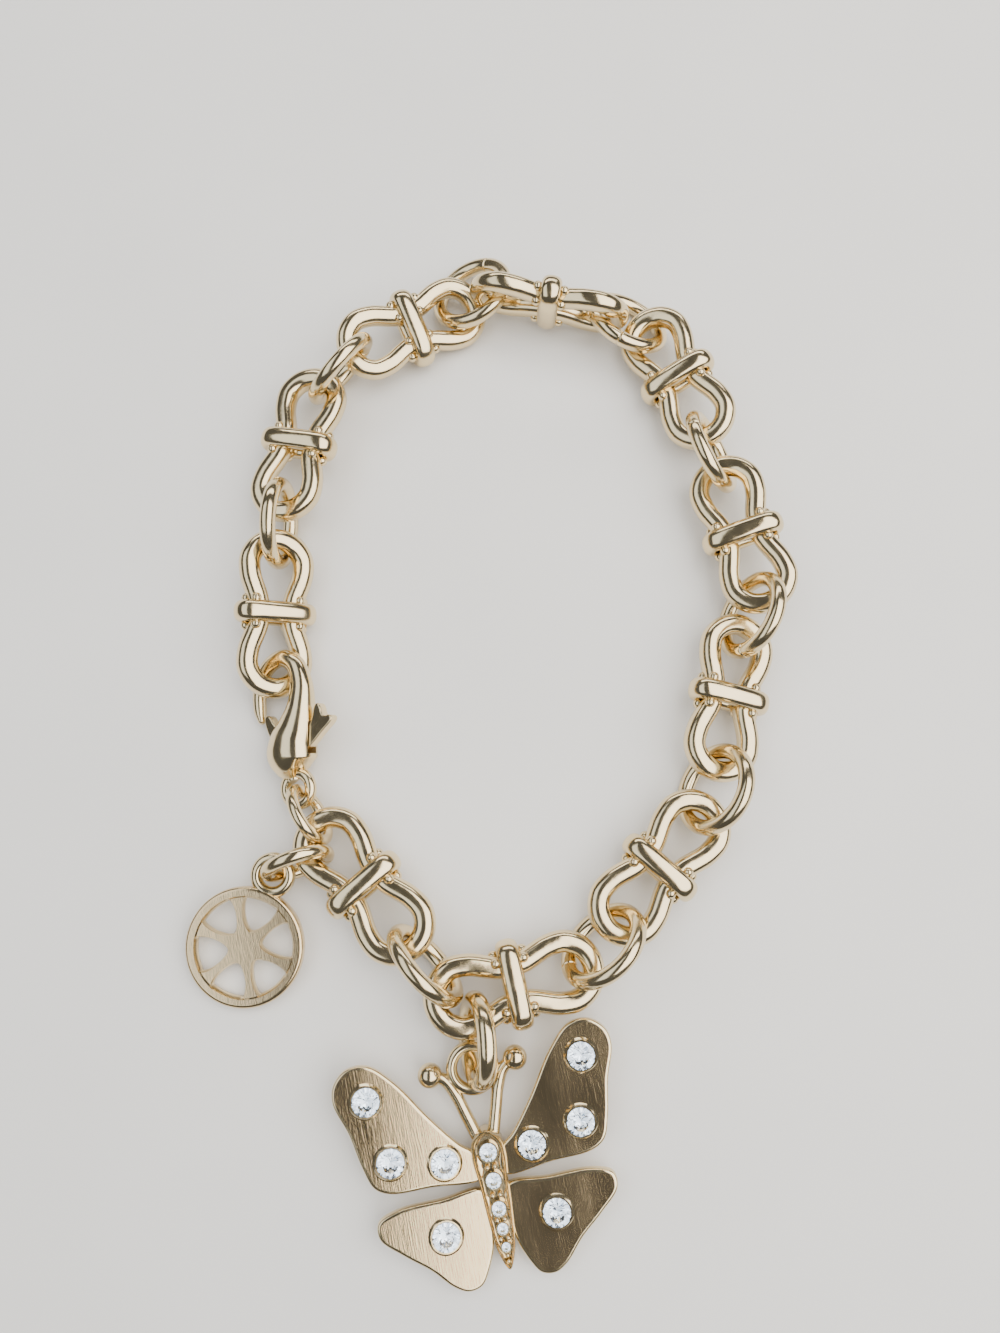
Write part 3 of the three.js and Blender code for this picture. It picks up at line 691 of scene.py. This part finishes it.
def silver_foil():
    """Bright foil behind a stone, slightly cool and hardly uneven."""
    material, tree, inputs = new_material("silver_foil", metallic=1.0)
    tone = noise_from(tree, 2500)
    tint = ramp_from(tree, tone, (0.84, 0.9, 0.97), (0.93, 0.96, 1.0))
    tree.links.new(tint, inputs["Base Color"])
    tree.links.new(range_from(tree, tone, 0.0, 0.04), inputs["Roughness"])
    return material


def table_top(colour):
    """Pale matt table with a hardly visible mottle."""
    material, tree, inputs = new_material("pale_table")
    tone = noise_from(tree, 40)
    darker = tuple(0.97 * c for c in colour)
    tree.links.new(ramp_from(tree, tone, darker, colour), inputs["Base Color"])
    inputs["Roughness"].default_value = 0.6
    return material


FINISHES = {}


def finish(name):
    """The shared material of that name, made on first use from the scene's finish settings."""
    look = bpy.context.scene.bracelet_finish
    heading = math.radians(BUTTERFLY_PLACE["heading"])
    makers = {
        "polished": lambda: plain_gold("polished_gold", tuple(look.polished), 0.11, 0.2),
        "cast": lambda: plain_gold("cast_gold", tuple(look.polished), 0.42, 0.55),
        "satin": lambda: satin_gold(tuple(look.satin), heading),
        "stone": lambda: clear_stone(tuple(look.stone)),
        "foil": silver_foil,
        "table": lambda: table_top(tuple(look.table)),
    }
    if name not in FINISHES:
        FINISHES[name] = makers[name]()
    return FINISHES[name]


# Pieces


def bow_link_mesh(sizes):
    """Closed wire with a round loop at each end, a flat collar round its waist and solder beads.

    The centre line follows a circle round each loop, LOOP_TURN degrees to each side, and then runs
    straight in to the waist. The collar's band has a squared oval section.
    """
    half, waist = sizes.link_length / MM / 2, (sizes.waist_gap + sizes.link_wire) / MM / 2
    radius, wire = sizes.loop_radius / MM, sizes.link_wire / MM
    bar, band = sizes.collar_wire / MM, sizes.collar_width / MM
    angle = np.radians(LOOP_TURN * np.arange(-3, 4) / 3)
    loop = np.column_stack([half + radius * np.cos(angle), radius * np.sin(angle)])
    neck = np.array([[band / 2, waist], [-band / 2, waist]])
    outline = np.vstack([loop, neck, -loop, -neck])
    frame_wire = tube(flat(smooth_curve(outline, 9)), wire / 2, closed=True, sides=24, square=2.3)
    reach, depth = sizes.collar_length / MM, sizes.collar_depth / MM
    turn, straight = (depth - bar) / 2, (reach - depth) / 2
    angle = np.radians([-90, -45, 0, 45, 90])
    end = np.column_stack([straight + turn * np.cos(angle), turn * np.sin(angle)])
    slot_line = smooth_curve(np.vstack([end, -end]), 10)
    collar_path = np.column_stack([np.zeros(len(slot_line)), slot_line])
    collar = tube(collar_path, bar / 2, band / 2, closed=True, sides=28, square=2.25, across=(1, 0, 0))
    beads = []
    for x in (-1, 1):
        for y in (-1, 1):
            for out, up, size in SOLDER_BEADS:
                beside = band / 2 + BEAD_GAP + BEAD_LEAN * out
                at = (x * beside, y * (waist + out * wire / 2), up * wire / 2)
                beads.append(ball(size, at, 12))
    return fused("bow_link", frame_wire, [collar, *beads], [], [finish("polished")])


def ring_mesh(name, outer, wire, seam, cut):
    """Round wire bent to a ring, with a fine cut across it where its ends meet.

    The steps crowd towards the cut, where the wire's radius dips as a bell curve.
    """
    even = 2 * math.pi * np.arange(RING_STEPS) / RING_STEPS
    turn = even - RING_CROWDING * np.sin(even)
    middle = (outer - wire) / 2
    away = np.abs((turn + math.pi) % (2 * math.pi) - math.pi) * middle
    radius = wire / 2 * (1 - cut * np.exp(-((away / seam) ** 2)))
    path = middle * np.column_stack([np.cos(turn), np.sin(turn), np.zeros(len(turn))])
    ring = tube(path, radius, closed=True, sides=22, square=2.15)
    return mesh_of(name, ring, [finish("polished")])


def lever_mesh():
    """Flat lever with rounded edges and a bore for its pin."""
    outline = softened(sized(LEVER, CLASP_LENGTH))
    body = plate(outline, rounded_edge(LEVER_THICKNESS / 2, LEVER_EDGE))
    bore = PIN_RADIUS + BORE_PLAY
    hole = turned([(bore, -LEVER_THICKNESS), (bore, LEVER_THICKNESS)], 24).moved(shifted((*PIVOT, 0)))
    return fused("lever", body, [], [hole], [finish("polished")])


def clasp_mesh():
    """Bulbous claw drawn along its centre line and joined to its eye, and its pin.

    The slot for the lever is left as cast. It is the lever's grown outline at every few degrees of
    its travel.
    """
    rows = smooth_curve(sized(CLAW, CLASP_LENGTH), 8, closed=False)
    claw = tube(flat(rows), rows[:, 2], rows[:, 3], sides=40, square=2.1)
    eye = hoop(EYE_OUTER, EYE_WIRE)
    hole_radius = EYE_OUTER / 2 - EYE_WIRE
    hole = turned([(hole_radius, -3), (hole_radius, 3)], 40)
    deep = LEVER_THICKNESS / 2 + LEVER_PLAY
    grown = inset(sized(LEVER, CLASP_LENGTH), -SLOT_PLAY)
    to_pivot = shifted((*PIVOT, 0))
    sweep = [
        plate(grown, [(0, -deep), (0, deep)], finish=CAST).moved(
            to_pivot @ turn_about(2, -turn) @ shifted((-PIVOT[0], -PIVOT[1], 0))
        )
        for turn in range(0, LEVER_TRAVEL + 1, SLOT_STEP)
    ]
    slotted = fused("clasp", claw, [eye], [hole, *sweep], [finish("polished"), finish("cast")])
    pin_profile = [(PIN_RADIUS - PIN_HEAD, -PIN_REACH - PIN_HEAD), (PIN_RADIUS, -PIN_REACH)]
    pin_profile += [(r, -z) for r, z in reversed(pin_profile)]
    pin = mesh_of("pin", turned(pin_profile, 24).moved(to_pivot), [finish("polished")])
    return slotted, pin


def tag_mesh():
    """Disc with a raised rounded rim and a loop, pierced by a flower of openings with flared edges."""
    half = TAG_THICKNESS / 2
    field = half - TAG_SINK
    edge = rounded_edge(half, TAG_EDGE)
    rim = np.column_stack([TAG_RADIUS - edge[:, 0], edge[:, 1]])
    inside = TAG_RADIUS - TAG_RIM
    face = np.array([(inside + 0.1, half), (inside - 0.05, field), (0.2, field)])
    disc = turned(np.vstack([face[::-1] * [1, -1], rim, face]), 120, finish=SATIN)
    loop_at = (0, TAG_RADIUS + (TAG_LOOP_OUTER - TAG_LOOP_WIRE) / 2 - 0.1, 0)
    loop = hoop(TAG_LOOP_OUTER, TAG_LOOP_WIRE).moved(shifted(loop_at))
    far, shoulders = inside - TAG_MARGIN, TAG_SHOULDERS * TAG_RADIUS
    quarter = math.pi / TAG_PETALS
    angle = (quarter - TAG_BAR / 2 / far) * np.linspace(-0.8, 0.8, 9)
    arc = far * np.column_stack([np.sin(angle), np.cos(angle)])
    widest = quarter - TAG_BAR / 2 / shoulders
    side = shoulders * math.sin(widest), shoulders * math.cos(widest)
    petal = smooth_curve(np.vstack([arc, [side, (0.0, TAG_HUB), (-side[0], side[1])]]), 5)
    flare = np.array([(0.0, field - 0.25), (-TAG_FLARE, half + 0.1)])
    opening = plate(petal, np.vstack([flare[::-1] * [1, -1], flare]))
    openings = [opening.moved(turn_about(2, 360 / TAG_PETALS * k)) for k in range(TAG_PETALS)]
    return fused("tag", disc, [loop], openings, [finish("polished"), finish("satin")])


def brilliant(radius):
    """Points of a round brilliant, in rings of eight or sixteen, and its facets by number of corners."""
    eight = 2 * math.pi * np.arange(8) / 8
    sixteen = 2 * math.pi * np.arange(16) / 16

    def ring(share, height, angle):
        return flat(share * np.column_stack([np.cos(angle), np.sin(angle)]), height)

    top = GIRDLE + CROWN
    between = eight + math.pi / 8
    points = np.vstack([
        ring(TABLE, top, eight),
        ring(0.5 + TABLE / 2, GIRDLE + STAR_HEIGHT * CROWN, between),
        ring(1.0, GIRDLE, sixteen),
        ring(1.0, 0.0, sixteen),
        ring(LOWER_WIDTH, -LOWER_DEPTH * PAVILION, between),
        [(0, 0, -PAVILION)],
    ]) * radius
    k, after, before = np.arange(8), (np.arange(8) + 1) % 8, (np.arange(8) - 1) % 8
    table, star, girdle, below, low = k, 8 + k, 16 + 2 * k, 32 + 2 * k, 48 + k
    star_before, low_before = 8 + before, 48 + before
    girdle_after, below_after = 16 + 2 * after, 32 + 2 * after
    culet = np.full(8, 56)
    band = np.arange(16)
    band_after = (band + 1) % 16
    return points, [
        table[None],
        np.stack([table, star, after], axis=-1),
        np.stack([table, star_before, girdle, star], axis=-1),
        np.stack([star, girdle, girdle + 1], axis=-1),
        np.stack([star, girdle + 1, girdle_after], axis=-1),
        np.stack([16 + band, 32 + band, 32 + band_after, 16 + band_after], axis=-1),
        np.stack([low, below + 1, below], axis=-1),
        np.stack([low, below_after, below + 1], axis=-1),
        np.stack([culet, low, below, low_before], axis=-1),
    ]


def stone_mesh(radius):
    """Faceted stone with flat faces: clear above and round the girdle, foiled below it."""
    points, facets = brilliant(radius)
    foiled = [CLEAR] * 6 + [FOILED] * 3
    finishes = [np.full(len(facet), which) for facet, which in zip(facets, foiled)]
    mesh = mesh_of("stone", Shell(points, facets, finishes), [finish("stone"), finish("foil")])
    mesh.polygons.foreach_set("use_smooth", np.zeros(len(mesh.polygons), bool))
    return mesh


def wing_frame(side):
    """The right (1) or left (-1) pair of wings, raised about the body's axis."""
    return turn_about(1, -side * WING_LIFT)


def wing_stone_frame(at, side):
    """Frame of a wing stone: its origin is the middle of its girdle's lower edge."""
    rise = WING_THICKNESS / 2 + SEAT_RISE - STONE_SINK
    return wing_frame(side) @ shifted((side * at[0] * WING_REACH, at[1] * WING_REACH, rise))


def body_stone_frame(y):
    """Frame of a body stone, with its origin as a wing stone's."""
    return shifted((0, y * BODY_LENGTH, BODY_HEIGHT / 2 - BODY_STONE_SINK))


def seat_cut(radius, rim):
    """Hollow for a stone: a bright bevel out to the rim, a wall at the girdle and a cone below it."""
    clear = radius + SEAT_PLAY
    edge = GIRDLE * radius
    cone = [(0.1 * radius, -(PAVILION + 0.05) * radius), (clear, -0.04)]
    return turned([*cone, (clear, edge), (clear + rim, edge + 0.2)], 40)


def wing_collar():
    """Low round collar of a wing stone, whose side slopes up from the wing."""
    top, foot = WING_THICKNESS / 2, WING_STONE + SEAT_WALL
    root = [(0.5, top - 0.3), (foot + 0.12, top - 0.3), (foot + 0.12, top)]
    rise = [(foot, top + 0.6 * SEAT_RISE), (foot - 0.1, top + SEAT_RISE), (0.5, top + SEAT_RISE)]
    return turned(root + rise, 48)


def wing_shell(table, side):
    """Flat wing with a rolled bright edge and a brushed face."""
    points = smooth_curve(sized(table, WING_REACH) * [side, 1], 7)
    profile = rounded_edge(WING_THICKNESS / 2, WING_EDGE)
    bands = np.full(len(profile) - 1, POLISHED)
    return plate(points, profile, finish=bands, end_finish=SATIN).moved(wing_frame(side))


def body_shell():
    """Slim body with a double raised rim round a trough: its rows lie between two outlines."""
    right = sized(BODY_RIGHT, BODY_LENGTH)
    outer = smooth_curve(np.vstack([right, right[-2:0:-1] * [-1, 1]]), 7)
    inner = outer * [TROUGH_WIDTH, TROUGH_LENGTH]
    top, floor = BODY_HEIGHT / 2, BODY_HEIGHT / 2 - TROUGH_DEPTH
    rows = [
        (0.7, -top), (0.3, -top), (0.1, -top + 0.08), (0.0, -top + 0.25),
        (0.0, top - 0.3), (0.06, top - 0.13), (0.2, top - 0.02), (0.36, top - 0.02),
        (0.48, top - 0.12), (0.52, top - 0.12), (0.64, top - 0.02), (0.82, top - 0.02),
        (0.95, top - 0.1), (1.0, top - 0.25), (1.04, floor), (1.2, floor),
    ]
    grid = np.stack([flat(outer + share * (inner - outer), z) for share, z in rows])
    return shell(grid)


def butterfly_mesh():
    """Four wings, body, antennae, bail and stone seats as one soldered piece, with the seats cut."""
    joined, cuts = [], []
    for side in (1, -1):
        joined += [wing_shell(FOREWING, side), wing_shell(HINDWING, side)]
        for at in WING_STONES:
            to_wing = shifted((side * at[0] * WING_REACH, at[1] * WING_REACH, 0))
            joined.append(wing_collar().moved(wing_frame(side) @ to_wing))
            cuts.append(seat_cut(WING_STONE, WING_SEAT_BEVEL).moved(wing_stone_frame(at, side)))
        line = sized(ANTENNA, BODY_LENGTH) * [side, 1]
        joined.append(tube(flat(smooth_curve(line, 8, closed=False)), ANTENNA_WIRE / 2))
        joined.append(ball(ANTENNA_BALL, (*line[-1], 0), 32))
    joined.append(hoop(BAIL_OUTER, BAIL_WIRE).moved(shifted((0, BAIL_PLACE * BODY_LENGTH, 0))))
    top, floor = BODY_HEIGHT / 2, BODY_HEIGHT / 2 - TROUGH_DEPTH
    for y, radius in BODY_STONES:
        seat = turned([(radius + 0.14, floor - 0.2), (radius + 0.14, top - 0.15)], 40)
        joined.append(seat.moved(shifted((0, y * BODY_LENGTH, 0))))
        cuts.append(seat_cut(radius, BODY_SEAT_BEVEL).moved(body_stone_frame(y)))
    for (above, r_above), (below, r_below) in zip(BODY_STONES, BODY_STONES[1:]):
        middle = ((above + below) * BODY_LENGTH - r_above + r_below) / 2
        for side in (1, -1):
            joined.append(ball(GRAIN, (side * GRAIN_APART, middle, top - GRAIN_SINK), 12))
    for y in TAIL_GRAINS:
        joined.append(ball(TAIL_GRAIN, (0, y * BODY_LENGTH, top - TAIL_GRAIN_SINK), 12))
    materials = [finish("polished"), finish("satin")]
    return fused("butterfly", body_shell(), joined, cuts, materials)


# Settings


def metres(name, description, default, least):
    """Setting for a length in metres."""
    return FloatProperty(name=name, description=description, default=default, min=least, unit="LENGTH")


def swatch(name, description, default):
    """Setting for a colour."""
    return FloatVectorProperty(
        name=name, description=description, default=default, min=0.0, max=1.0, subtype="COLOR"
    )


class BraceletSizes(bpy.types.PropertyGroup):
    """Sizes of the bow links and of the rings' cuts."""

    link_length: metres("Link length", "Between the centres of a bow link's two loops", 0.0100, 0.004)
    loop_radius: metres("Loop radius", "Centre line of a bow link's loop", 0.00295, 0.001)
    link_wire: metres("Link wire", "Diameter of a bow link's wire", 0.0022, 0.0005)
    waist_gap: metres("Waist gap", "Clear space between the two arms at the collar", 0.0015, 0.0)
    collar_length: metres("Collar length", "Outside length of the collar across the link", 0.0088, 0.003)
    collar_depth: metres("Collar depth", "Outside depth of the collar through the link", 0.0040, 0.002)
    collar_wire: metres("Collar thickness", "Thickness of the collar's band", 0.0016, 0.0005)
    collar_width: metres("Collar width", "Width of the collar's band along the link", 0.00225, 0.0005)
    seam_width: metres("Seam width", "Width of the cut where a ring's ends meet", 0.00007, 0.00001)
    seam_depth: FloatProperty(
        name="Seam depth", description="Depth of that cut as a share of the wire's radius",
        default=0.11, min=0.0, max=0.9, subtype="FACTOR",
    )


class BraceletFinish(bpy.types.PropertyGroup):
    """Colours of the finishes."""

    polished: swatch("Polished gold", "Chain, clasp and bright edges", (0.85, 0.69, 0.42))
    satin: swatch("Satin gold", "Brushed wings and tag", (0.81, 0.62, 0.36))
    stone: swatch("Stones", "Clear stones", (0.90, 0.95, 1.0))
    table: swatch("Table", "Table top", (0.80, 0.79, 0.77))


class BraceletStage(bpy.types.PropertyGroup):
    """Table, lights and camera."""

    table_size: metres("Table size", "Side of the square table top", 2.4, 0.3)
    key_power: FloatProperty(
        name="Key light", description="Power of the large soft panel on the right",
        default=4.4, min=0.0, unit="POWER",
    )
    surround: FloatProperty(
        name="Surround", description="Brightness of the room around the table",
        default=0.11, min=0.0,
    )
    camera_distance: metres(
        "Camera distance", "From the camera to the middle of the picture", 0.108108, 0.03
    )
    camera_elevation: IntProperty(
        name="Camera elevation", description="Degrees above the table that the camera stands",
        default=78, min=1, max=90,
    )


# Operators


class BRACELET_OT_links(bpy.types.Operator):
    """Adds the ten bow links."""

    bl_idname = "bracelet.links"
    bl_label = "Bow links"

    def execute(self, context):
        mesh = bow_link_mesh(context.scene.bracelet_sizes)
        for node in sorted(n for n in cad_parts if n.startswith("bow_link_")):
            dress(node, mesh, principal_frame(node))
        return {"FINISHED"}


class BRACELET_OT_rings(bpy.types.Operator):
    """Adds the round rings of the chain, the clasp, the tag and the butterfly."""

    bl_idname = "bracelet.rings"
    bl_label = "Jump rings"

    def execute(self, context):
        sizes = context.scene.bracelet_sizes
        nodes = sorted(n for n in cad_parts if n.startswith("chain_ring_"))
        for number, node in enumerate([*nodes, "clasp_ring", "tag_ring", "drop_ring"]):
            outer, wire = ring_sizes(node)
            mesh = ring_mesh(node, outer, wire, sizes.seam_width / MM, sizes.seam_depth)
            turn = turn_about(2, SEAMS.get(node, SEAM_START + SEAM_STEP * number))
            dress(node, mesh, ring_place(node) @ turn)
        return {"FINISHED"}


class BRACELET_OT_clasp(bpy.types.Operator):
    """Adds the lobster claw clasp: its claw with eye and pin, and its lever on the gate's body."""

    bl_idname = "bracelet.clasp"
    bl_label = "Lobster claw clasp"

    def execute(self, context):
        place = flat_place(CLASP_PLACE)
        claw, pin = clasp_mesh()
        dress("clasp_body", claw, place)
        dress("clasp_body", pin, place, name="look_clasp_pin")
        dress("clasp_gate", lever_mesh(), place, body="gate")
        return {"FINISHED"}


class BRACELET_OT_tag(bpy.types.Operator):
    """Adds the round tag that is pierced with a flower."""

    bl_idname = "bracelet.tag"
    bl_label = "Round tag"

    def execute(self, context):
        dress("round_tag", tag_mesh(), flat_place(TAG_PLACE))
        return {"FINISHED"}


class BRACELET_OT_butterfly(bpy.types.Operator):
    """Adds the butterfly with its brushed wings, seats, antennae and bail."""

    bl_idname = "bracelet.butterfly"
    bl_label = "Butterfly"

    def execute(self, context):
        dress("butterfly", butterfly_mesh(), flat_place(BUTTERFLY_PLACE))
        return {"FINISHED"}


class BRACELET_OT_stones(bpy.types.Operator):
    """Adds the cut stones of the wings and of the body."""

    bl_idname = "bracelet.stones"
    bl_label = "Stones"

    def execute(self, context):
        whole = flat_place(BUTTERFLY_PLACE)
        large = stone_mesh(WING_STONE)
        number = 0
        for side in (-1, 1):
            for at in WING_STONES:
                number += 1
                node = f"wing_stone_{number}"
                place = whole @ wing_stone_frame(at, side) @ turn_about(2, STONE_TURN * number)
                dress(node, large, place)
        for number, (y, radius) in enumerate(BODY_STONES, 1):
            place = whole @ body_stone_frame(y)
            dress(f"body_stone_{number}", stone_mesh(radius), place)
        return {"FINISHED"}


class BRACELET_OT_stage(bpy.types.Operator):
    """Adds the table, the soft lights and the camera."""

    bl_idname = "bracelet.stage"
    bl_label = "Table, lights and camera"

    def execute(self, context):
        stage = context.scene.bracelet_stage
        half = stage.table_size / 2
        corners = [(-half, -half, 0), (half, -half, 0), (half, half, 0), (-half, half, 0)]
        mesh = bpy.data.meshes.new("table")
        mesh.from_pydata(corners, [], [(0, 1, 2, 3)])
        mesh.materials.append(finish("table"))
        add_object("table", mesh)
        world = bpy.data.worlds.new("room")
        world.use_nodes = True
        room = world.node_tree.nodes["Background"].inputs
        room["Color"].default_value = ROOM
        room["Strength"].default_value = stage.surround
        context.scene.world = world
        for name, (at, size, share, colour, target, mirrored) in PANELS.items():
            light = area_light(name, at, size, share * stage.key_power, colour, target)
            light.visible_glossy = mirrored
        add_camera(stage)
        return {"FINISHED"}


def aim(item, at, target):
    """Puts a light or the camera at a place and turns it towards a point."""
    item.location = at
    item.rotation_euler = (Vector(target) - Vector(at)).to_track_quat("-Z", "Y").to_euler()


def area_light(name, at, size, power, colour, target):
    """Rectangular soft light that faces a point."""
    data = bpy.data.lights.new(name, "AREA")
    data.shape = "RECTANGLE"
    data.size, data.size_y = size
    data.energy = power
    data.color = colour
    light = bpy.data.objects.new(name, data)
    bpy.context.scene.collection.objects.link(light)
    aim(light, at, target)
    return light


def add_camera(stage):
    """Camera at the photograph's angle, aimed at the point of the table in the picture's middle."""
    target = Vector((*frame_shift()[:2], 0)) * MM
    elevation = math.radians(stage.camera_elevation)
    back = Vector((0, -math.cos(elevation), math.sin(elevation)))
    data = bpy.data.cameras.new("camera")
    data.sensor_width = SENSOR
    data.lens = LENS
    data.clip_start = 0.001
    camera = bpy.data.objects.new("camera", data)
    bpy.context.scene.collection.objects.link(camera)
    aim(camera, target + stage.camera_distance * back, target)
    bpy.context.scene.camera = camera


class BRACELET_PT_panel(bpy.types.Panel):
    """Every setting, and a button for each step."""

    bl_idname = "BRACELET_PT_panel"
    bl_label = "Charm bracelet"
    bl_space_type = "VIEW_3D"
    bl_region_type = "UI"
    bl_category = "Bracelet"

    def draw(self, context):
        scene = context.scene
        for group in (scene.bracelet_sizes, scene.bracelet_finish, scene.bracelet_stage):
            box = self.layout.box()
            for name in group.__annotations__:
                box.prop(group, name)
        for operator in OPERATORS:
            self.layout.operator(operator.bl_idname)


GROUPS = (BraceletSizes, BraceletFinish, BraceletStage)
OPERATORS = (
    BRACELET_OT_links,
    BRACELET_OT_rings,
    BRACELET_OT_clasp,
    BRACELET_OT_tag,
    BRACELET_OT_butterfly,
    BRACELET_OT_stones,
    BRACELET_OT_stage,
)


def register():
    """Adds the classes and the scene's settings."""
    for one in (*GROUPS, *OPERATORS, BRACELET_PT_panel):
        bpy.utils.register_class(one)
    bpy.types.Scene.bracelet_sizes = PointerProperty(type=BraceletSizes)
    bpy.types.Scene.bracelet_finish = PointerProperty(type=BraceletFinish)
    bpy.types.Scene.bracelet_stage = PointerProperty(type=BraceletStage)


def unregister():
    """Takes them out again."""
    del bpy.types.Scene.bracelet_stage
    del bpy.types.Scene.bracelet_finish
    del bpy.types.Scene.bracelet_sizes
    for one in reversed((*GROUPS, *OPERATORS, BRACELET_PT_panel)):
        bpy.utils.unregister_class(one)


def main():
    """Builds everything."""
    register()
    bpy.ops.bracelet.links()
    bpy.ops.bracelet.rings()
    bpy.ops.bracelet.clasp()
    bpy.ops.bracelet.tag()
    bpy.ops.bracelet.butterfly()
    bpy.ops.bracelet.stones()
    bpy.ops.bracelet.stage()


if __name__ == "__main__":
    main()
